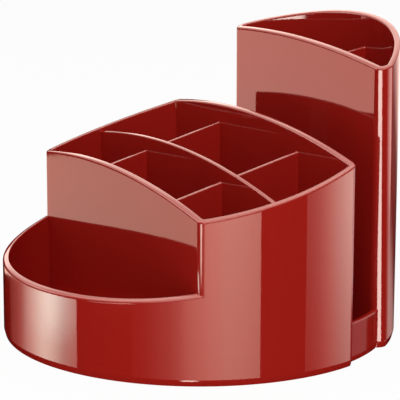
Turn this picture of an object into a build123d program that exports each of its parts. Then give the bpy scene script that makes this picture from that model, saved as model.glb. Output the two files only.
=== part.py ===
from build123d import *
from math import cos, radians, sin, sqrt
import os

# Round pen holder: a low tray in front, a block of six compartments behind it,
# a note slot, and a tall tower at the back, all inside one circle.
# Origin: centre of the circle, on the surface it stands on. The tray faces -Y.

# Circle and walls
base_radius = 70.0
shell_wall = 2.2
block_corner = 3.0
tower_corner = 3.5
inner_corner = 1.0
rim_round = 0.7

# Straight walls across the circle: place of each wall's middle on the Y axis
front_wall_y = -31.2
middle_wall_y = -6.2
back_wall_y = 24.3
tower_front_y = 42.9

# Rims: height over the middle of the circle, slope in degrees towards the back,
# and radius of the arch from side to side
tray_rim_height = 49.3
tray_rim_slope = 18.0
tray_rim_arch = 263.0
block_rim_height = 69.5
block_rim_slope = 14.5
block_rim_arch = 382.0
tower_rim_height = 90.1
tower_rim_slope = 15.3
tower_rim_arch = 490.0

# Dividers
middle_divider_wall = 1.3
middle_divider_drop = 1.6
cross_divider_wall = 1.2
cross_divider_drop = 6.5
cross_divider_x = 29.0
tower_divider_wall = 1.2
tower_divider_height = 85.6
tower_divider_slope = 9.5
divider_round = 0.4
lap_height = 30.0

# Sills that close the foot of the note slot
sill_inset = 2.6
sill_wall = 2.0
sill_height = 14.0

# Base plate: foot band, spigots that stand inside the shells, hollow underside
plate_thickness = 2.4
foot_chamfer_height = 1.9
foot_chamfer_inset = 0.5
spigot_height = 1.5
seat_depth = 1.0
hollow_inset = 6.0
hollow_depth = 0.6

# Fits: grooves for the dividers' edges, and tongues on the tray wall's ends
groove_depth = 0.8
tray_tongue_wall = 1.0
tray_tongue_reach = 2.0
tray_wrap = 0.5
fit_gap = 0.1

sill_radius = base_radius - sill_inset
spigot_top = plate_thickness + spigot_height
divider_foot = spigot_top - seat_depth
sill_foot = plate_thickness - seat_depth
tall = 2 * base_radius


def chord(y, radius):
    """Left and right end of the straight line at y across a circle."""
    end_x = sqrt(radius**2 - y**2)
    return (-end_x, y), (end_x, y)


def corner_round(outer, inset):
    """Corner radius of an outline that lies inset from the outside."""
    return max(outer - inset, inner_corner)


def block_face(inset):
    """Outline of the block, inset from its outside."""
    radius = base_radius - inset
    near = chord(front_wall_y - shell_wall / 2 + inset, radius)
    far = chord(back_wall_y + shell_wall / 2 - inset, radius)
    with BuildSketch() as sketch:
        with BuildLine():
            Line(*near)
            ThreePointArc(near[1], (radius, 0), far[1])
            Line(*far)
            ThreePointArc(far[0], (-radius, 0), near[0])
        make_face()
        fillet(sketch.vertices(), corner_round(block_corner, inset))
    return sketch.sketch


def tower_face(inset):
    """Outline of the tower, inset from its outside."""
    radius = base_radius - inset
    near = chord(tower_front_y - shell_wall / 2 + inset, radius)
    with BuildSketch() as sketch:
        with BuildLine():
            Line(*near)
            ThreePointArc(near[1], (0, radius), near[0])
        make_face()
        fillet(sketch.vertices(), corner_round(tower_corner, inset))
    return sketch.sketch


def tray_face(radius, gap):
    """Tray side of the circle, gap in front of the block's front wall."""
    far = chord(front_wall_y - shell_wall / 2 - gap, radius)
    with BuildSketch() as sketch:
        with BuildLine():
            Line(*far)
            ThreePointArc(far[1], (0, -radius), far[0])
        make_face()
    return sketch.sketch


def tray_tongue_face(gap):
    """Section of the tongues on the tray wall's ends, grown by gap."""
    radius = base_radius - shell_wall / 2
    half = tray_tongue_wall / 2 + gap
    with BuildSketch() as sketch:
        add(tray_face(radius + half, -tray_tongue_reach - gap))
        Circle(radius - half, mode=Mode.SUBTRACT)
        add(tray_face(base_radius, fit_gap), mode=Mode.SUBTRACT)
    return sketch.sketch


def foot_face():
    """Outline of the tray and the block together."""
    far = chord(back_wall_y + shell_wall / 2, base_radius)
    with BuildSketch() as sketch:
        with BuildLine():
            Line(*far)
            ThreePointArc(far[1], (0, -base_radius), far[0])
        make_face()
        fillet(sketch.vertices(), block_corner)
    return sketch.sketch


def sill_disc():
    """Disc that the sills stand on the edge of."""
    with BuildSketch() as sketch:
        Circle(sill_radius)
    return sketch.sketch


def middle_divider_face(gap):
    """Section of the middle divider, with its tongues, grown by gap."""
    with BuildSketch() as sketch:
        Circle(base_radius - shell_wall + groove_depth + gap)
        with Locations((0, middle_wall_y)):
            Rectangle(tall, middle_divider_wall + 2 * gap, mode=Mode.INTERSECT)
    return sketch.sketch


def cross_divider_face(x, gap):
    """Section of a cross divider at x, with its tongues, grown by gap."""
    with BuildSketch() as sketch:
        add(block_face(shell_wall - groove_depth - gap))
        with Locations((x, 0)):
            Rectangle(cross_divider_wall + 2 * gap, tall, mode=Mode.INTERSECT)
    return sketch.sketch


def tower_divider_face(gap):
    """Section of the tower divider, with its tongues, grown by gap."""
    with BuildSketch() as sketch:
        add(tower_face(shell_wall - groove_depth - gap))
        Rectangle(tower_divider_wall + 2 * gap, 2 * tall, mode=Mode.INTERSECT)
    return sketch.sketch


def sill_face(side, gap):
    """Section of the sill on one side, +1 right or -1 left, grown by gap."""
    with BuildSketch() as sketch:
        Circle(sill_radius + gap)
        Circle(sill_radius - sill_wall - gap, mode=Mode.SUBTRACT)
        with Locations((side * base_radius, base_radius)):
            Rectangle(2 * base_radius, 2 * base_radius, mode=Mode.INTERSECT)
        add(block_face(gap - fit_gap), mode=Mode.SUBTRACT)
        add(tower_face(gap - fit_gap), mode=Mode.SUBTRACT)
    return sketch.sketch


# Tops as height over the middle of the circle, slope, and radius of the arch, 0 for flat
tray_rim = (tray_rim_height, tray_rim_slope, tray_rim_arch)
block_rim = (block_rim_height, block_rim_slope, block_rim_arch)
tower_rim = (tower_rim_height, tower_rim_slope, tower_rim_arch)
tray_tongue_top = (tray_rim_height - rim_round, tray_rim_slope, tray_rim_arch)
middle_divider_top = (block_rim_height - middle_divider_drop, block_rim_slope, block_rim_arch)
cross_divider_top = (block_rim_height - cross_divider_drop, block_rim_slope, block_rim_arch)
tower_divider_top = (tower_divider_height, tower_divider_slope, 0)


def below(top, gap=0.0):
    """Solid of all the room below a top that rises towards the back, raised by gap."""
    height, slope, arch = top
    tilt = radians(slope)
    across = Plane(origin=(0, 0, height), x_dir=(1, 0, 0), z_dir=(0, -cos(tilt), -sin(tilt)))
    with BuildPart(mode=Mode.PRIVATE) as room:
        with BuildSketch(across):
            if arch:
                with Locations((0, -arch)):
                    Circle(arch + gap)
            else:
                with Locations((0, gap)):
                    Rectangle(2 * tall, 2 * tall, align=(Align.CENTER, Align.MAX))
        extrude(amount=tall, both=True)
    return room.part


def rim_face(part):
    """Top face of a part that is cut off by its rim."""
    return part.faces().sort_by(Axis.Z)[-1]


def blade(face, foot, top, gap=0.0):
    """Upright blade on a section, from foot up to its top, grown by gap there."""
    with BuildPart(mode=Mode.PRIVATE) as solid:
        with BuildSketch(Plane.XY.offset(foot)):
            add(face)
        extrude(amount=tall)
        add(below(top, gap), mode=Mode.INTERSECT)
    return solid.part


def foot_slab(face):
    """Slab as thick as the plate, with its lower edge chamfered."""
    with BuildPart(mode=Mode.PRIVATE) as slab:
        with BuildSketch():
            add(face)
        extrude(amount=plate_thickness)
        chamfer(slab.faces().sort_by(Axis.Z)[0].edges(), foot_chamfer_inset, foot_chamfer_height)
    return slab.part


# Base plate, the foot that everything stands on
with BuildPart() as base_plate:
    add(foot_slab(sill_disc()))
    add(foot_slab(foot_face()))
    add(foot_slab(tower_face(0)))
    with BuildSketch(Plane.XY.offset(plate_thickness)):
        add(tray_face(base_radius - shell_wall - fit_gap, fit_gap))
        add(block_face(shell_wall + fit_gap))
        add(tower_face(shell_wall + fit_gap))
    extrude(amount=spigot_height)
    with BuildSketch(Plane.XY.offset(divider_foot)):
        add(middle_divider_face(fit_gap))
        add(cross_divider_face(cross_divider_x, fit_gap))
        add(cross_divider_face(-cross_divider_x, fit_gap))
        add(tower_divider_face(fit_gap))
    extrude(amount=spigot_height, mode=Mode.SUBTRACT)
    with BuildSketch(Plane.XY.offset(sill_foot)):
        add(sill_face(1, fit_gap))
        add(sill_face(-1, fit_gap))
    extrude(amount=seat_depth, mode=Mode.SUBTRACT)
    with BuildSketch():
        Circle(base_radius - hollow_inset)
    extrude(amount=hollow_depth, mode=Mode.SUBTRACT)
base_plate.part.label = "base_plate"

# Low wall of the tray
with BuildPart() as tray_wall:
    with BuildSketch(Plane.XY.offset(plate_thickness)):
        add(tray_face(base_radius, -tray_wrap))
        Circle(base_radius - shell_wall, mode=Mode.SUBTRACT)
    extrude(amount=tall)
    add(below(tray_rim), mode=Mode.INTERSECT)
    fillet(rim_face(tray_wall).edges().sort_by(SortBy.LENGTH)[-2:], rim_round)
    with BuildSketch():
        add(block_face(-fit_gap))
    extrude(amount=tall, mode=Mode.SUBTRACT)
    add(blade(tray_tongue_face(0), plate_thickness, tray_tongue_top))
tray_wall.part.label = "tray_wall"

# Shell of the compartment block, with grooves for the divider tongues
with BuildPart() as block_shell:
    with BuildSketch(Plane.XY.offset(plate_thickness)):
        add(block_face(0))
        add(block_face(shell_wall), mode=Mode.SUBTRACT)
    extrude(amount=tall)
    add(below(block_rim), mode=Mode.INTERSECT)
    fillet(rim_face(block_shell).edges(), rim_round)
    add(blade(tray_tongue_face(fit_gap), 0, tray_tongue_top, fit_gap), mode=Mode.SUBTRACT)
    add(blade(middle_divider_face(fit_gap), 0, middle_divider_top, fit_gap), mode=Mode.SUBTRACT)
    for x in (-cross_divider_x, cross_divider_x):
        add(blade(cross_divider_face(x, fit_gap), 0, cross_divider_top, fit_gap), mode=Mode.SUBTRACT)
block_shell.part.label = "block_shell"

# Divider from side to side, notched from below over the cross dividers
with BuildPart() as middle_divider:
    with BuildSketch(Plane.XY.offset(divider_foot)):
        add(middle_divider_face(0))
    extrude(amount=tall)
    add(below(middle_divider_top), mode=Mode.INTERSECT)
    fillet(rim_face(middle_divider).edges().sort_by(SortBy.LENGTH)[-2:], divider_round)
    with BuildSketch():
        add(cross_divider_face(-cross_divider_x, fit_gap))
        add(cross_divider_face(cross_divider_x, fit_gap))
    extrude(amount=lap_height, mode=Mode.SUBTRACT)
middle_divider.part.label = "middle_divider"


def make_cross_divider(x):
    """Straight divider from front to back at x, notched from above for the middle divider."""
    with BuildPart() as divider:
        with BuildSketch(Plane.XY.offset(divider_foot)):
            add(cross_divider_face(x, 0))
        extrude(amount=tall)
        add(below(cross_divider_top), mode=Mode.INTERSECT)
        fillet(rim_face(divider).edges().sort_by(SortBy.LENGTH)[-2:], divider_round)
        with BuildSketch(Plane.XY.offset(lap_height)):
            add(middle_divider_face(fit_gap))
        extrude(amount=tall, mode=Mode.SUBTRACT)
    return divider.part


left_cross_divider = make_cross_divider(-cross_divider_x)
left_cross_divider.label = "left_cross_divider"
right_cross_divider = make_cross_divider(cross_divider_x)
right_cross_divider.label = "right_cross_divider"

# Shell of the tower, with grooves for its divider
with BuildPart() as tower_shell:
    with BuildSketch(Plane.XY.offset(plate_thickness)):
        add(tower_face(0))
        add(tower_face(shell_wall), mode=Mode.SUBTRACT)
    extrude(amount=tall)
    add(below(tower_rim), mode=Mode.INTERSECT)
    fillet(rim_face(tower_shell).edges(), rim_round)
    add(blade(tower_divider_face(fit_gap), 0, tower_divider_top, fit_gap), mode=Mode.SUBTRACT)
tower_shell.part.label = "tower_shell"

# Divider that halves the tower
with BuildPart() as tower_divider:
    with BuildSketch(Plane.XY.offset(divider_foot)):
        add(tower_divider_face(0))
    extrude(amount=tall)
    add(below(tower_divider_top), mode=Mode.INTERSECT)
    fillet(rim_face(tower_divider).edges().sort_by(SortBy.LENGTH)[-2:], divider_round)
tower_divider.part.label = "tower_divider"


def make_sill(side):
    """Low curved curb across one end of the note slot."""
    with BuildPart() as sill:
        with BuildSketch(Plane.XY.offset(sill_foot)):
            add(sill_face(side, 0))
        extrude(amount=sill_height - sill_foot)
        fillet(rim_face(sill).edges().sort_by(SortBy.LENGTH)[-2:], divider_round)
    return sill.part


left_slot_sill = make_sill(-1)
left_slot_sill.label = "left_slot_sill"
right_slot_sill = make_sill(1)
right_slot_sill.label = "right_slot_sill"

os.makedirs("parts", exist_ok=True)
export_step(base_plate.part, "parts/base_plate.step")
export_step(tray_wall.part, "parts/tray_wall.step")
export_step(block_shell.part, "parts/block_shell.step")
export_step(middle_divider.part, "parts/middle_divider.step")
export_step(left_cross_divider, "parts/left_cross_divider.step")
export_step(right_cross_divider, "parts/right_cross_divider.step")
export_step(tower_shell.part, "parts/tower_shell.step")
export_step(tower_divider.part, "parts/tower_divider.step")
export_step(left_slot_sill, "parts/left_slot_sill.step")
export_step(right_slot_sill, "parts/right_slot_sill.step")
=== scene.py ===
from math import acos, atan2, cos, pi, radians, sin, sqrt, tan

import bmesh
import bpy
from mathutils import Matrix, Vector


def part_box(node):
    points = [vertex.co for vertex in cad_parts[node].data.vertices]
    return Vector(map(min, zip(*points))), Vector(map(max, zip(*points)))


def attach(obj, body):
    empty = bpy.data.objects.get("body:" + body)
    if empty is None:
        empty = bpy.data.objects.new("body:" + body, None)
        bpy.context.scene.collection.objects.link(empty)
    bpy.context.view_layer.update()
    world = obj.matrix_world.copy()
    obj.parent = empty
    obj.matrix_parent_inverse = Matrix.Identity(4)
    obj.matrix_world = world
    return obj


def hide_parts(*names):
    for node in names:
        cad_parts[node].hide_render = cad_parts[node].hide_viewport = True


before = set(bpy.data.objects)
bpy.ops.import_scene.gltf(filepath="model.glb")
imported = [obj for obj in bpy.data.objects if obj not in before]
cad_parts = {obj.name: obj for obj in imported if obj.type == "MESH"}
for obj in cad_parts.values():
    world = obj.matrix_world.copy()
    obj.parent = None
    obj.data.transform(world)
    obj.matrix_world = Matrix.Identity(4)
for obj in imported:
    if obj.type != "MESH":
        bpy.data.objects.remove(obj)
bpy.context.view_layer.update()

# Round pen holder in glossy red plastic: a low tray in front, a block of six
# compartments behind it, a note slot, and a tall tower at the back.
# The circle stands on the floor at the origin, and the tray faces -Y.

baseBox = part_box("base_plate")
mm = 0.001
origin = Vector((0, 0))

holder = {
    "radius": (baseBox[1][0] - baseBox[0][0]) / 2,
    "wall": 2.2 * mm,
    "innerCorner": 1.0 * mm,
    "rimRound": 0.7 * mm,
    "roundSteps": 7,
    "support": 0.12 * mm,  # a row this close beside each rounding keeps the tall faces flat
    "sharpAngle": 35,
    "weld": 0.002 * mm,
    "shortest": 0.0005 * mm,  # shorter edges are dissolved
}

# Straight walls across the circle: place of each wall's middle on the Y axis
frontWall = -31.2 * mm
middleWall = -6.2 * mm
backWall = 24.3 * mm
towerFront = 42.9 * mm


def archedTop(height, slope, arch=0):
    # Height over the origin, rise towards the back, and fall by the square of x
    tilt = radians(slope)
    return height * mm, tan(tilt), 1 / (2 * arch * mm * cos(tilt)) if arch else 0


trayRim = archedTop(49.3, 18.0, 263)
blockRim = archedTop(69.5, 14.5, 382)
towerRim = archedTop(90.1, 15.3, 490)


# Plan outlines

def meet(radius, y, side):  # where the circle of this radius crosses the line at y
    return Vector((side * sqrt(radius**2 - y**2), y))


def turned(arm, angle):
    c, s = cos(angle), sin(angle)
    return Vector((arm.x * c - arm.y * s, arm.x * s + arm.y * c))


def fractions(length, count, closed):
    # Where the points of a stretch lie, with one close to each end. The end itself is
    # left out unless closed, so that stretches chain.
    near = holder["support"] / length
    parts = [0, near, *(step / count for step in range(1, count)), 1 - near]
    return parts + [1] if closed else parts


def line(start, end, count, closed=False):
    return [start.lerp(end, part) for part in fractions((end - start).length, count, closed)]


def arc(centre, start, end, count, closed=False):  # round a centre, the short way
    first, last = start - centre, end - centre
    turn = atan2(first.cross(last), first.dot(last))
    grow = last.length / first.length - 1
    return [centre + (1 + grow * part) * turned(first, turn * part)
            for part in fractions(first.length * abs(turn), count, closed)]


def corner(radius, y, sign, rounding, side):
    # A corner's rounding between the round side and a wall at y: its centre, and
    # where it touches both. The sign is +1 where the piece is behind the wall's line.
    centre = meet(radius - rounding, y + sign * rounding, side)
    return centre, centre.normalized() * radius, Vector((centre.x, y))


def meetRounding(centre, rounding, radius, side):
    # Where the circle of this radius about the origin crosses a corner's rounding
    away = centre.length
    turn = -side * acos((radius**2 + away**2 - rounding**2) / (2 * radius * away))
    return turned(centre.normalized() * radius, turn)


block = {"corner": 3.0 * mm, "sideSteps": 48, "wallSteps": 56, "cornerSteps": 10}


def blockOutline(inset):
    radius = holder["radius"] - inset
    rounding = max(block["corner"] - inset, holder["innerCorner"])
    near, far = frontWall - holder["wall"] / 2 + inset, backWall + holder["wall"] / 2 - inset
    frontRight, frontLeft = (corner(radius, near, 1, rounding, side) for side in (1, -1))
    backRight, backLeft = (corner(radius, far, -1, rounding, side) for side in (1, -1))
    sides, walls, turns = block["sideSteps"], block["wallSteps"], block["cornerSteps"]
    return (
        arc(origin, frontRight[1], backRight[1], sides)
        + arc(backRight[0], backRight[1], backRight[2], turns)
        + line(backRight[2], backLeft[2], walls)
        + arc(backLeft[0], backLeft[2], backLeft[1], turns)
        + arc(origin, backLeft[1], frontLeft[1], sides)
        + arc(frontLeft[0], frontLeft[1], frontLeft[2], turns)
        + line(frontLeft[2], frontRight[2], walls)
        + arc(frontRight[0], frontRight[2], frontRight[1], turns)
    )


tower = {"corner": 3.5 * mm, "sideSteps": 80, "wallSteps": 48, "cornerSteps": 10}


def towerOutline(inset):
    radius = holder["radius"] - inset
    rounding = max(tower["corner"] - inset, holder["innerCorner"])
    near = towerFront - holder["wall"] / 2 + inset
    right, left = (corner(radius, near, 1, rounding, side) for side in (1, -1))
    return (
        arc(origin, right[1], left[1], tower["sideSteps"])
        + arc(left[0], left[1], left[2], tower["cornerSteps"])
        + line(left[2], right[2], tower["wallSteps"])
        + arc(right[0], right[2], right[1], tower["cornerSteps"])
    )


def strip(one, other):  # closed outline of a thin wall between two lines, and its spine
    spine = [(a + b) / 2 for a, b in zip(one, other)]
    return one + other[::-1], spine + spine[::-1]


# Rules for the section of a wall: (0 outline or 1 inner line, distance in from there,
# height above the rim). Rows far below the rim stop at the foot.

def quarterTurn(steps):
    return [pi / 2 * step / steps for step in range(steps + 1)]


def roundedEdge(radius, side):
    rows = [(side, 0, -radius - holder["support"])]
    return rows + [(side, radius * (1 - cos(turn)), radius * (sin(turn) - 1))
                   for turn in quarterTurn(holder["roundSteps"])]


def shellProfile(radius):  # up the outside, over the rim and down the inside
    rows = [(0, 0, -1), *roundedEdge(radius, 0), *roundedEdge(radius, 1)[::-1], (1, 0, -1)]
    return rows + rows[:1]


def solidProfile(radius):  # from the spine's foot round the outside to its top
    return [(1, 0, -1), (0, 0, -1), *roundedEdge(radius, 0), (1, 0, 0)]


def addNode(tree, kind, inputs=(), **settings):
    # An input is a value, or the socket that it is linked to
    node = tree.nodes.new(kind)
    for name, value in settings.items():
        setattr(node, name, value)
    for key, value in dict(inputs).items():
        if isinstance(value, bpy.types.NodeSocket):
            tree.links.new(value, node.inputs[key])
        else:
            node.inputs[key].default_value = value
    return node


def output(tree, kind, inputs=(), socket=0, **settings):
    return addNode(tree, kind, inputs, **settings).outputs[socket]


def makeWallTree():
    # Upright wall: a grid of columns round the outline and rows along the profile
    tree = bpy.data.node_groups.new("uprightWall", "GeometryNodeTree")
    sockets = (("Outline", "Object"), ("Inner Line", "Object"), ("Profile", "Object"),
               ("Foot", "Float"), ("Rim Height", "Float"), ("Rim Slope", "Float"),
               ("Rim Arch", "Float"), ("Weld", "Float"), ("Finish", "Material"))
    for name, kind in sockets:
        tree.interface.new_socket(name=name, in_out="INPUT", socket_type="NodeSocket" + kind)
    tree.interface.new_socket(name="Wall", in_out="OUTPUT", socket_type="NodeSocketGeometry")
    given = addNode(tree, "NodeGroupInput").outputs

    def shape(name):
        return output(tree, "GeometryNodeObjectInfo", {"Object": given[name]}, "Geometry")

    def count(shape):
        return output(tree, "GeometryNodeAttributeDomainSize", {"Geometry": shape}, "Point Count")

    def maths(operation, a, b=0.0):
        return output(tree, "ShaderNodeMath", {0: a, 1: b}, operation=operation)

    def vectors(operation, a, b=(0, 0, 0)):
        return output(tree, "ShaderNodeVectorMath", {0: a, 1: b}, operation=operation)

    def scaled(vector, size):
        return output(tree, "ShaderNodeVectorMath", {0: vector, "Scale": size}, operation="SCALE")

    def axes(vector):
        return addNode(tree, "ShaderNodeSeparateXYZ", {0: vector}).outputs

    outline, inner, profile = shape("Outline"), shape("Inner Line"), shape("Profile")
    place = output(tree, "GeometryNodeInputPosition")
    index = output(tree, "GeometryNodeInputIndex")
    columns, rows = count(outline), count(profile)
    grid = output(tree, "GeometryNodeMeshGrid",
                  {"Vertices X": maths("ADD", columns, 1), "Vertices Y": rows}, "Mesh")
    column = maths("FLOOR", maths("DIVIDE", maths("ADD", index, 0.5), rows))
    row = maths("SUBTRACT", index, maths("MULTIPLY", column, rows))
    lastColumn = maths("COMPARE", column, columns)  # it closes the wall on the first
    wrapped = maths("SUBTRACT", column, maths("MULTIPLY", columns, lastColumn))

    def sample(shape, at):
        return output(tree, "GeometryNodeSampleIndex",
                      {"Geometry": shape, "Value": place, "Index": at}, data_type="FLOAT_VECTOR")

    outside, inside = sample(outline, wrapped), sample(inner, wrapped)
    rule = axes(sample(profile, row))
    across = vectors("SUBTRACT", inside, outside)
    start = vectors("ADD", outside, scaled(across, rule["X"]))
    # The distance goes inwards from the outline, and back again from the inner line
    ahead = maths("SUBTRACT", 1.0, maths("MULTIPLY", rule["X"], 2.0))
    inwards = scaled(vectors("NORMALIZE", across), maths("MULTIPLY", ahead, rule["Y"]))
    plan = axes(vectors("ADD", start, inwards))
    slope = maths("ADD", given["Rim Height"], maths("MULTIPLY", given["Rim Slope"], plan["Y"]))
    arch = maths("MULTIPLY", given["Rim Arch"], maths("MULTIPLY", plan["X"], plan["X"]))
    rim = maths("SUBTRACT", slope, arch)
    height = maths("MAXIMUM", given["Foot"], maths("ADD", rim, rule["Z"]))
    spot = output(tree, "ShaderNodeCombineXYZ", {"X": plan["X"], "Y": plan["Y"], "Z": height})
    bent = output(tree, "GeometryNodeSetPosition", {"Geometry": grid, "Position": spot})
    welded = output(tree, "GeometryNodeMergeByDistance",
                    {"Geometry": bent, "Distance": given["Weld"]})
    real = output(tree, "GeometryNodeRealizeInstances", {"Geometry": welded})
    painted = output(tree, "GeometryNodeSetMaterial",
                     {"Geometry": real, "Material": given["Finish"]})
    addNode(tree, "NodeGroupOutput", {"Wall": painted})
    return tree


def pointObject(name, points):
    mesh = bpy.data.meshes.new(name)
    mesh.from_pydata([Vector(point).to_3d() for point in points], [], [])
    thing = bpy.data.objects.new(name, mesh)
    bpy.context.collection.objects.link(thing)
    return thing


def wallMesh(outline, inner, profile, foot, rim=(0, 0, 0)):
    # The rule's result as a plain mesh
    helpers = [pointObject(name, points) for name, points in
               (("outline", outline), ("innerLine", inner), ("profile", profile))]
    wall = pointObject("wall", [])
    rule = wall.modifiers.new("uprightWall", "NODES")
    rule.node_group = wallTree
    values = {"Outline": helpers[0], "Inner Line": helpers[1], "Profile": helpers[2],
              "Foot": foot, "Rim Height": rim[0], "Rim Slope": rim[1], "Rim Arch": rim[2],
              "Weld": holder["weld"], "Finish": redPlastic}
    for socket in wallTree.interface.items_tree:
        if socket.in_out == "INPUT":
            rule[socket.identifier] = values[socket.name]
    graph = bpy.context.evaluated_depsgraph_get()
    made = bpy.data.meshes.new_from_object(wall.evaluated_get(graph), depsgraph=graph)
    for thing in [wall, *helpers]:
        data = thing.data
        bpy.data.objects.remove(thing)
        bpy.data.meshes.remove(data)
    return made


pieces = []


def makePiece(name, meshes):
    # One object from closed meshes, in the place of the CAD node of the same name
    whole = bmesh.new()
    for mesh in meshes:
        whole.from_mesh(mesh)
        bpy.data.meshes.remove(mesh)
    bmesh.ops.dissolve_degenerate(whole, dist=holder["shortest"], edges=whole.edges[:])
    bmesh.ops.recalc_face_normals(whole, faces=whole.faces[:])
    mesh = bpy.data.meshes.new(name + "Mesh")
    whole.to_mesh(mesh)
    whole.free()
    mesh.materials.clear()
    mesh.materials.append(redPlastic)
    mesh.polygons.foreach_set("use_smooth", [True] * len(mesh.polygons))
    mesh.set_sharp_from_angle(angle=radians(holder["sharpAngle"]))
    piece = bpy.data.objects.new(name + "Moulding", mesh)
    bpy.context.collection.objects.link(piece)
    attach(piece, "root")
    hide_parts(name)
    pieces.append(piece)
    print(name, len(mesh.polygons), "faces")
    return piece


plastic = {
    "colour": (0.296, 0.0103, 0.007, 1),
    "paler": (0.306, 0.0113, 0.0075, 1),
    "roughness": (0.025, 0.05),
    "refraction": 1.5,
    "cloudScale": 40,  # faint clouds of paler and rougher plastic
    "cloudDetail": 3,
    "peelScale": 160,  # faint orange peel
    "peelDetail": 1,
    "peelHeight": 0.01 * mm,
}


def makeRedPlastic():
    material = bpy.data.materials.new("redPlastic")
    material.use_nodes = True
    tree = material.node_tree
    shader = tree.nodes["Principled BSDF"]
    place = output(tree, "ShaderNodeTexCoord", socket="Object")

    def noise(scale, detail):
        return output(tree, "ShaderNodeTexNoise",
                      {"Vector": place, "Scale": scale, "Detail": detail}, "Fac")

    clouds = noise(plastic["cloudScale"], plastic["cloudDetail"])
    peel = noise(plastic["peelScale"], plastic["peelDetail"])
    tint = output(tree, "ShaderNodeMix", {"Factor": clouds, "A": plastic["colour"],
                                          "B": plastic["paler"]}, "Result", data_type="RGBA")
    low, high = plastic["roughness"]
    gloss = output(tree, "ShaderNodeMapRange",
                   {"Value": clouds, "To Min": low, "To Max": high}, "Result")
    bump = output(tree, "ShaderNodeBump",
                  {"Height": peel, "Distance": plastic["peelHeight"]}, "Normal")
    tree.links.new(tint, shader.inputs["Base Color"])
    tree.links.new(gloss, shader.inputs["Roughness"])
    tree.links.new(bump, shader.inputs["Normal"])
    shader.inputs["IOR"].default_value = plastic["refraction"]
    return material


redPlastic = makeRedPlastic()
wallTree = makeWallTree()
print("materials and wall rule ready")

# Base: a foot band all round, hollow underneath, and a raised floor inside each shell
base = {
    "thickness": 2.4 * mm,
    "floor": 3.9 * mm,
    "bevelHeight": 1.9 * mm,
    "bevelInset": 0.5 * mm,
    "hollowInset": 6.0 * mm,
    "hollowDepth": 0.6 * mm,
    "slotInset": 2.6 * mm,  # the disc is this much smaller across the note slot
    "padFoot": 1.5 * mm,  # foot of the raised floors
    "trayCentre": 0.6,  # of the radius: where the tray's floor fans out from
    "traySteps": 120,
    "slotSteps": 16,
}


def footOutline():
    radius = holder["radius"]
    disc = radius - base["slotInset"]
    back, front = backWall + holder["wall"] / 2, towerFront - holder["wall"] / 2
    ends = []
    for side in (1, -1):
        towerEnd = corner(radius, front, 1, tower["corner"], side)
        ends.append((corner(radius, back, -1, block["corner"], side), meet(disc, back, side),
                     meetRounding(towerEnd[0], tower["corner"], disc, side), towerEnd))
    blockRight, slotRight, towerStart, towerRight = ends[0]
    blockLeft, slotLeft, towerStop, towerLeft = ends[1]
    lowest = Vector((0, -radius))
    few, some = block["cornerSteps"], base["slotSteps"]
    return (
        arc(blockRight[0], blockRight[1], blockRight[2], few)
        + line(blockRight[2], slotRight, few)
        + arc(origin, slotRight, towerStart, some)
        + arc(towerRight[0], towerStart, towerRight[1], few)
        + arc(origin, towerRight[1], towerLeft[1], tower["sideSteps"])
        + arc(towerLeft[0], towerLeft[1], towerStop, few)
        + arc(origin, towerStop, slotLeft, some)
        + line(slotLeft, blockLeft[2], few)
        + arc(blockLeft[0], blockLeft[2], blockLeft[1], few)
        + arc(origin, blockLeft[1], lowest, base["traySteps"])
        + arc(origin, lowest, blockRight[1], base["traySteps"])
    )


def trayOutline(inset):  # the tray's side of the circle, inset from its outside
    radius = holder["radius"] - inset
    right, left = meet(radius, frontWall, 1), meet(radius, frontWall, -1)
    lowest = Vector((0, -radius))
    return (line(right, left, block["wallSteps"]) + arc(origin, left, lowest, base["traySteps"])
            + arc(origin, lowest, right, base["traySteps"]))


def makeBase():
    outline = footOutline()
    hollow = holder["radius"] - base["hollowInset"]
    edge = [point.normalized() * hollow for point in outline]
    top, low = base["thickness"], base["hollowDepth"]
    footRows = [(1, -hollow, low), (1, 0, low), (1, 0, 0), (0, base["bevelInset"], 0),
                (0, 0, base["bevelHeight"]), (0, 0, top), (1, 0, top), (1, -hollow, top)]
    meshes = [wallMesh(outline, edge, footRows, 0)]
    half, foot, floor = holder["wall"] / 2, base["padFoot"], base["floor"]
    padRows = [(1, 0, foot), (0, 0, foot), (0, 0, floor), (1, 0, floor)]
    pads = ((trayOutline(half), -holder["radius"] * base["trayCentre"]),
            (blockOutline(half), (frontWall + backWall) / 2),
            (towerOutline(half), (towerFront + holder["radius"]) / 2))
    for outline, middle in pads:
        meshes.append(wallMesh(outline, [Vector((0, middle))] * len(outline), padRows, 0))
    makePiece("base_plate", meshes)


makeBase()

# Low wall of the tray. Its outside runs into the block's round side, and its ends
# are inside the block's front corners.
tray = {"sideSteps": 150}


def makeTrayWall():
    radius, wall = holder["radius"], holder["wall"]
    right, left = (corner(radius, frontWall - wall / 2, 1, block["corner"], side)[1]
                   for side in (1, -1))
    innerRight, innerLeft = (meet(radius - wall, frontWall, side) for side in (1, -1))
    outside = arc(origin, left, right, tray["sideSteps"], closed=True)
    inside = arc(origin, innerLeft, innerRight, tray["sideSteps"], closed=True)
    outline, spine = strip(outside, inside)
    rows = solidProfile(holder["rimRound"])
    makePiece("tray_wall", [wallMesh(outline, spine, rows, base["thickness"], trayRim)])


makeTrayWall()


# Shells of the block and the tower

def makeShell(name, outline, rim):
    rows = shellProfile(holder["rimRound"])
    mesh = wallMesh(outline(0), outline(holder["wall"]), rows, base["thickness"], rim)
    return makePiece(name, [mesh])


makeShell("block_shell", blockOutline, blockRim)
towerShell = makeShell("tower_shell", towerOutline, towerRim)

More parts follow.
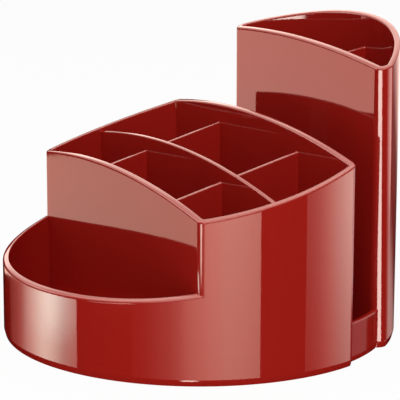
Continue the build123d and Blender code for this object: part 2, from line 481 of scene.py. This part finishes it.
# Dividers, with their ends inside the shells' walls
divider = {
    "middleWall": 1.3 * mm,
    "middleDrop": 1.6 * mm,
    "crossWall": 1.2 * mm,
    "crossDrop": 6.5 * mm,
    "crossX": 29.0 * mm,
    "towerWall": 1.2 * mm,
    "towerTop": archedTop(85.6, 9.5),
    "rimRound": 0.4 * mm,
    "cove": 0.6 * mm,  # the thin walls flare out by this much where they meet a wall
    "coveSteps": 5,
    "spanParts": (0.25, 0.5, 0.75),  # where a thin wall has points between its coves
    "foot": 2.9 * mm,
    "wallSteps": 72,
}
dividerRows = solidProfile(divider["rimRound"])


def lowered(rim, drop):
    return rim[0] - drop, rim[1], rim[2]


def makeMiddleDivider():
    reach = meet(holder["radius"] - holder["wall"] / 2, middleWall, 1).x
    half = Vector((0, divider["middleWall"] / 2))
    left, right = Vector((-reach, middleWall)), Vector((reach, middleWall))
    outline, spine = strip(*(line(left + shift, right + shift, divider["wallSteps"], closed=True)
                             for shift in (-half, half)))
    top = lowered(blockRim, divider["middleDrop"])
    makePiece("middle_divider", [wallMesh(outline, spine, dividerRows, divider["foot"], top)])


def flaredLine(x, side, half, faces):
    # One side of a thin wall along Y. It runs between pairs of faces, with a cove at
    # each, and ends in the walls behind the first and the last.
    cove = divider["cove"]
    flare = [(cove * (1 - sin(turn)), cove * (1 - cos(turn)))  # (out, along)
             for turn in quarterTurn(divider["coveSteps"])]
    points = [(half + cove, faces[0][0] - holder["wall"] / 2)]
    for near, far in faces:
        points += [(half + out, near + along) for out, along in flare]
        points += [(half, near + (far - near) * part) for part in divider["spanParts"]]
        points += [(half + out, far - along) for out, along in flare[::-1]]
    points.append((half + cove, faces[-1][1] + holder["wall"] / 2))
    return [Vector((x + side * out, y)) for out, y in points]


def makeThinWall(name, x, width, faces, top):
    outline, spine = strip(*(flaredLine(x, side, width / 2, faces) for side in (-1, 1)))
    makePiece(name, [wallMesh(outline, spine, dividerRows, divider["foot"], top)])


makeMiddleDivider()
shellHalf, middleHalf = holder["wall"] / 2, divider["middleWall"] / 2
crossFaces = ((frontWall + shellHalf, middleWall - middleHalf),
              (middleWall + middleHalf, backWall - shellHalf))
crossTop = lowered(blockRim, divider["crossDrop"])
for side, name in ((-1, "left_cross_divider"), (1, "right_cross_divider")):
    makeThinWall(name, side * divider["crossX"], divider["crossWall"], crossFaces, crossTop)
towerFaces = ((towerFront + shellHalf, holder["radius"] - holder["wall"]),)
makeThinWall("tower_divider", 0, divider["towerWall"], towerFaces, divider["towerTop"])

# Low sills across the ends of the note slot
sill = {"wall": 2.0 * mm, "height": 14.0 * mm, "foot": 1.9 * mm, "steps": 24}


def makeSill(name, side):
    outer = holder["radius"] - base["slotInset"]
    half = holder["wall"] / 2
    towerEnd = corner(holder["radius"], towerFront - half, 1, tower["corner"], side)[0]
    lines = []
    for radius in (outer, outer - sill["wall"]):
        start = meet(radius, backWall, side)
        end = meetRounding(towerEnd, tower["corner"] - half, radius, side)
        lines.append(arc(origin, start, end, sill["steps"], closed=True))
    outline, spine = strip(*lines)
    level = (sill["height"], 0, 0)
    makePiece(name, [wallMesh(outline, spine, dividerRows, sill["foot"], level)])


makeSill("left_slot_sill", -1)
makeSill("right_slot_sill", 1)
print("holder built")

# Studio, in metres and degrees
studio = {
    "floorHalf": 6.0,  # from the middle of the floor to its edges
    "floorGlow": 0.92,  # share of plain white in the floor that the camera sees
    "floorWhite": 0.82,
    "skyLight": 0.53,
    "softboxSize": 0.6,
    "softboxPlace": (0.85, -0.38, 1.3),
    "softboxPower": 17,
    "cardDistance": 3.0,
    "towerCardDistance": 2.9,
    "cardStep": 1.5,
    "leanRows": 24,
    "flagDistance": 3.3,
    "flagHeights": (-6.0, 0.7),
    "ring": range(-180, 181, 5),  # azimuths of the flags and the sky
}

# Light cards in front of a ring of black flags, seen only in the gloss. Each has layers
# that add up: a tint, brightness by azimuth in degrees, and a factor by height in metres.
cards = {
    "keyCard": (
        ((1.1, 1, 0.82),
         ((-172, 0.03), (-159, 0.22), (-153, 0.5), (-147, 1.3), (-141, 2.3), (-135, 3.9),
          (-129, 5.6), (-123, 5.5), (-117, 4.2), (-111, 2.6), (-101.5, 1.8)),
         ((-1.04, 0.9), (-0.95, 1), (-0.79, 1))),
        ((0.8, 1, 0.9),
         ((-150, 0), (-135, 1.2), (-129, 2.2), (-123, 4.4), (-117, 5), (-111, 4.2), (-101.5, 2.1)),
         ((-0.95, 0), (-0.9, 0.2), (-0.85, 0.9), (-0.79, 1.2))),
        ((1, 0, 0), ((-172, 0.05), (-150, 0.6), (-140, 0.9), (-128, 0), (-112, 0), (-101.5, 0.9)),
         ((-1.04, 1), (-0.79, 1))),
    ),
    "frontCard": (
        ((1.6, 1, 0.78), ((-186, 1), (-168, 1.45), (-158, 1.2), (-145, 1.24)),
         ((-0.79, 1), (-0.58, 1))),
    ),
    "stripCard": (
        ((1.15, 1, 0.85), ((-93, 2.5), (-81, 9), (-68, 13), (-64, 13)),
         ((-0.79, 0), (-0.775, 0.5), (-0.74, 0.8), (-0.68, 1), (-0.5, 1))),
    ),
    "rightCard": (
        ((1.4, 1, 0.81),
         ((-66, 0.06), (-57, 0.2), (-45, 0.68), (-39, 1.2), (-33, 2.1), (-21, 3.1), (-12, 3.6),
          (-3, 3.4), (7.3, 2.8)),
         ((-1.1, 0.85), (-0.95, 0.9), (-0.85, 1), (-0.68, 1.18), (-0.52, 1.25))),
        ((1, 0, 0), ((-66, 0.3), (-45, 0.4), (-33, 0.9), (-20, 0.8), (-12, 0)),
         ((-1.1, 1), (-0.52, 1))),
    ),
    "farCard": (
        ((1.3, 1, 0.85),
         ((35.5, 0.45), (39, 0.53), (45, 0.85), (51, 1.4), (57, 2.05), (63, 2.55), (73, 3)),
         ((-1.1, 0.65), (-0.95, 0.75), (-0.85, 1), (-0.75, 1.35), (-0.65, 1.65), (-0.5, 1.75))),
        ((1, 0, 0), ((35.5, 0.4), (51, 1), (62, 0)), ((-1.1, 1), (-0.5, 1))),
    ),
    "sideCard": (
        ((1.3, 1, 0.95), ((73, 0.45), (93, 0.32), (95, 0)), ((-1.04, 1), (-0.86, 1), (-0.8, 0))),
        ((1.3, 1, 0.95), ((73, 2.4), (95, 2), (108, 1), (118, 0.4)),
         ((-0.86, 0), (-0.79, 1), (-0.5, 1))),
    ),
    "footCard": (
        ((1.15, 1, 0.85), ((-39, 1), (-36, 16), (-31, 16), (-27, 1)),
         ((-2.0, 0), (-1.8, 1), (-1.35, 1), (-1.2, 0))),
    ),
}

# Cards that only the tower's shell mirrors. Each has its lean before its layers: the
# azimuth shifts by this many degrees for each metre below the card's top.
towerCards = {
    "towerFrontCard": (
        0,
        ((2.0, 1.02, 0.83), ((-186, 1), (-168, 1.3), (-158, 1.55), (-145, 1.6)),
         ((-0.8, 0.72), (-0.62, 0.78), (-0.56, 1), (-0.42, 0.96), (-0.34, 0.95))),
    ),
    "towerRimCard": (
        0,
        ((1.76, 1, 0.92), ((130, 0), (148, 1), (176, 1), (194, 0)),
         ((1, 0), (1.3, 0.3), (1.8, 0.9), (2.6, 0))),
    ),
    "towerStripCard": (
        114,
        ((1.15, 1, 0.9), ((-105, 4), (-101, 13.5), (-62, 13.5), (-57, 4)),
         ((-1.0, 1), (-0.28, 1))),
    ),
    "towerSideCard": (
        114,
        ((1.5, 1, 0.9),
         ((0, 0), (6, 1), (29, 4), (56, 4.4), (66, 2.5), (74, 0.6), (80, 0.1), (98, 0.1),
          (106, 0.5), (116, 1), (150, 1.2)),
         ((-1.0, 0.08), (-0.84, 0.13), (-0.78, 0.18), (-0.66, 0.33), (-0.6, 0.6), (-0.5, 1),
          (-0.28, 1))),
    ),
}

# Sky over the cards, seen only in the gloss. Low down its brightness goes by azimuth, and
# between the two elevations of the blend it changes to the brightness overhead.
sky = {
    "tint": (1.02, 0.79, 0.69),
    "low": ((-180, 1.4), (-155, 1.6), (-145, 5.0), (-125, 5.0), (-112, 0.4), (-70, 0.3),
            (-55, 3.5), (-35, 6.0), (-15, 5.0), (5, 1.0), (40, 1.2), (70, 2.1), (110, 2.1),
            (150, 2.5), (180, 2.3)),
    "elevations": (12, 18, 23, 28, 34, 39, 45, 50, 68, 86),
    "overhead": 5.3,
    "blend": (24, 55),
    "gap": ((34, 1), (39, 0.6), (45, 0.6), (50, 1)),  # darker ring: a line along the rims
    "edge": ((130, 1), (145, 1.5), (180, 1.5)),  # brighter behind, at the foot of the sky
    "edgeTop": 20,
}


def makeFloor():
    mesh = bpy.data.meshes.new("floorMesh")
    half = studio["floorHalf"]
    corners = [(-half, -half, 0), (half, -half, 0), (half, half, 0), (-half, half, 0)]
    mesh.from_pydata(corners, [], [(0, 1, 2, 3)])
    floor = bpy.data.objects.new("floor", mesh)
    bpy.context.collection.objects.link(floor)
    material = bpy.data.materials.new("palePaper")
    material.use_nodes = True
    tree = material.node_tree
    tree.nodes.clear()
    camera = output(tree, "ShaderNodeLightPath", socket="Is Camera Ray")
    white = studio["floorWhite"]
    paper = output(tree, "ShaderNodeBsdfDiffuse", {"Color": (white, white, white, 1)})
    glow = output(tree, "ShaderNodeEmission", {"Color": (1, 1, 1, 1)})
    seen = output(tree, "ShaderNodeMixShader", {0: studio["floorGlow"], 1: paper, 2: glow})
    mixed = output(tree, "ShaderNodeMixShader", {0: camera, 1: paper, 2: seen})
    addNode(tree, "ShaderNodeOutputMaterial", {"Surface": mixed})
    mesh.materials.append(material)
    floor.visible_glossy = False


def makeWorld():  # plain sky light, and white to the camera and in mirrors and glass
    world = bpy.data.worlds.new("studioWorld")
    bpy.context.scene.world = world
    world.use_nodes = True
    tree = world.node_tree
    tree.nodes.clear()
    path = addNode(tree, "ShaderNodeLightPath").outputs

    def either(a, b):
        return output(tree, "ShaderNodeMath", {0: a, 1: b}, operation="MAXIMUM")

    def white(strength):
        return output(tree, "ShaderNodeBackground",
                      {"Color": (1, 1, 1, 1), "Strength": strength})

    seen = either(either(path["Is Camera Ray"], path["Is Glossy Ray"]),
                  path["Is Transmission Ray"])
    mixed = output(tree, "ShaderNodeMixShader",
                   {0: seen, 1: white(studio["skyLight"]), 2: white(1)})
    addNode(tree, "ShaderNodeOutputWorld", {"Surface": mixed})


def makeSoftbox():
    light = bpy.data.lights.new("softbox", "AREA")
    light.size = studio["softboxSize"]
    light.energy = studio["softboxPower"]
    lamp = bpy.data.objects.new("softbox", light)
    lamp.location = studio["softboxPlace"]
    lamp.rotation_euler = Vector(lamp.location).to_track_quat("Z", "Y").to_euler()
    lamp.visible_glossy = False
    bpy.context.collection.objects.link(lamp)


def between(stops, at):  # straight between the stops, and level beyond them
    if at <= stops[0][0]:
        return stops[0][1]
    for (low, a), (high, b) in zip(stops, stops[1:]):
        if at <= high:
            return a + (b - a) * (at - low) / (high - low)
    return stops[-1][1]


def makeCardMaterial(name, light, clear=False):
    # Lit or black. A clear card adds its light to what is behind it.
    material = bpy.data.materials.new(name)
    material.use_nodes = True
    tree = material.node_tree
    tree.nodes.clear()
    if light:
        glow = output(tree, "ShaderNodeAttribute", socket="Color", attribute_name="glow")
        face = output(tree, "ShaderNodeEmission", {"Color": glow})
        if clear:
            behind = output(tree, "ShaderNodeBsdfTransparent")
            face = output(tree, "ShaderNodeAddShader", {0: face, 1: behind})
    else:
        face = output(tree, "ShaderNodeBsdfDiffuse", {"Color": (0, 0, 0, 1)})
    addNode(tree, "ShaderNodeOutputMaterial", {"Surface": face})
    return material


def makeScreen(name, azimuths, levels, glow, material, lean=0):
    # A curved screen about the object, seen only by glossy rays. Its levels are
    # (distance, height), and glow gives the light's colour by azimuth and level.
    rows = len(levels)
    spots = []
    for azimuth in azimuths:
        for distance, z in levels:
            angle = radians(azimuth + lean * (levels[-1][1] - z))
            spots.append((distance * cos(angle), distance * sin(angle), z))
    faces = [(c * rows + r, (c + 1) * rows + r, (c + 1) * rows + r + 1, c * rows + r + 1)
             for c in range(len(azimuths) - 1) for r in range(rows - 1)]
    mesh = bpy.data.meshes.new(name + "Mesh")
    mesh.from_pydata(spots, [], faces)
    shine = mesh.attributes.new("glow", "FLOAT_COLOR", "POINT")
    colours = [part for a in azimuths for row in range(rows) for part in (*glow(a, row), 1)]
    shine.data.foreach_set("color", colours)
    mesh.materials.append(material)
    screen = bpy.data.objects.new(name, mesh)
    bpy.context.collection.objects.link(screen)
    for rays in ("camera", "diffuse", "transmission", "volume_scatter", "shadow"):
        setattr(screen, "visible_" + rays, False)
    return screen


def makeCard(name, layers, distance, material, lean=0):
    heights = sorted({z for _, _, up in layers for z, _ in up})
    if lean:  # rows close together, so that the lean stays round
        low, high, rows = heights[0], heights[-1], studio["leanRows"]
        heights = [low + (high - low) * row / rows for row in range(rows + 1)]
    first = min(across[0][0] for _, across, _ in layers)
    last = max(across[-1][0] for _, across, _ in layers)
    steps = round((last - first) / studio["cardStep"])
    azimuths = [first + (last - first) * step / steps for step in range(steps + 1)]

    def glow(azimuth, row):
        parts = [Vector(tint) * between(across, azimuth) * between(up, heights[row])
                 for tint, across, up in layers]
        return sum(parts, Vector((0, 0, 0)))

    return makeScreen(name, azimuths, [(distance, z) for z in heights], glow, material, lean)


def makeMirrorGroup(name, members):  # a card linked to such a group lights only its members
    group = bpy.data.collections.new(name)
    for piece in members:
        group.objects.link(piece)
    return group


def makeCards():
    others = [piece for piece in pieces if piece != towerShell]
    roomGroup = makeMirrorGroup("mirrorsRoomCards", others)
    lit = makeCardMaterial("lightCard", True)
    for name, layers in cards.items():
        card = makeCard(name, layers, studio["cardDistance"], lit)
        card.light_linking.receiver_collection = roomGroup
    towerGroup = makeMirrorGroup("mirrorsTowerCards", [towerShell])
    clear = makeCardMaterial("clearCard", True, clear=True)
    for name, (lean, *layers) in towerCards.items():
        card = makeCard(name, layers, studio["towerCardDistance"], clear, lean)
        card.light_linking.receiver_collection = towerGroup
    levels = [(studio["flagDistance"], z) for z in studio["flagHeights"]]
    makeScreen("flags", studio["ring"], levels, lambda azimuth, row: (0, 0, 0),
               makeCardMaterial("blackFlag", False))


def makeSky():
    distance = studio["flagDistance"]
    levels = [(distance * cos(radians(elevation)), distance * sin(radians(elevation)))
              for elevation in sky["elevations"]]
    low, high = sky["blend"]

    def glow(azimuth, row):
        elevation = sky["elevations"][row]
        part = min(max((elevation - low) / (high - low), 0), 1)
        light = between(sky["low"], azimuth) * (1 - part) + sky["overhead"] * part
        if elevation < sky["edgeTop"]:
            light *= between(sky["edge"], azimuth)
        return Vector(sky["tint"]) * light * between(sky["gap"], elevation)

    makeScreen("skyCard", studio["ring"], levels, glow, makeCardMaterial("skyCard", True))


makeFloor()
makeWorld()
makeSoftbox()
makeCards()
makeSky()

# Camera: standing off the tray's right end, looking a little down
view = {
    "azimuth": radians(62.364),
    "elevation": radians(13.422),
    "roll": radians(0.143),
    "distance": 775.0 * mm,
    "height": 231.8 * mm,
    "aside": 0.3 * mm,
    "lens": 201.49,
    "sensor": 36,
}


def makeCamera():
    azimuth, elevation, roll = view["azimuth"], view["elevation"], view["roll"]
    ahead = Vector((-sin(azimuth) * cos(elevation), cos(azimuth) * cos(elevation),
                    -sin(elevation)))
    level = Vector((cos(azimuth), sin(azimuth), 0))
    up = level.cross(ahead)
    right = cos(roll) * level + sin(roll) * up
    top = cos(roll) * up - sin(roll) * level
    place = view["distance"] * Vector((sin(azimuth), -cos(azimuth), 0)) + view["aside"] * level
    place.z = view["height"]
    lens = bpy.data.cameras.new("camera")
    lens.sensor_width = view["sensor"]
    lens.lens = view["lens"]
    camera = bpy.data.objects.new("camera", lens)
    turn = Matrix((right, top, -ahead)).transposed().to_4x4()
    camera.matrix_world = Matrix.Translation(place) @ turn
    bpy.context.collection.objects.link(camera)
    bpy.context.scene.camera = camera


makeCamera()
bpy.context.scene.view_settings.view_transform = "Standard"
print("studio ready")
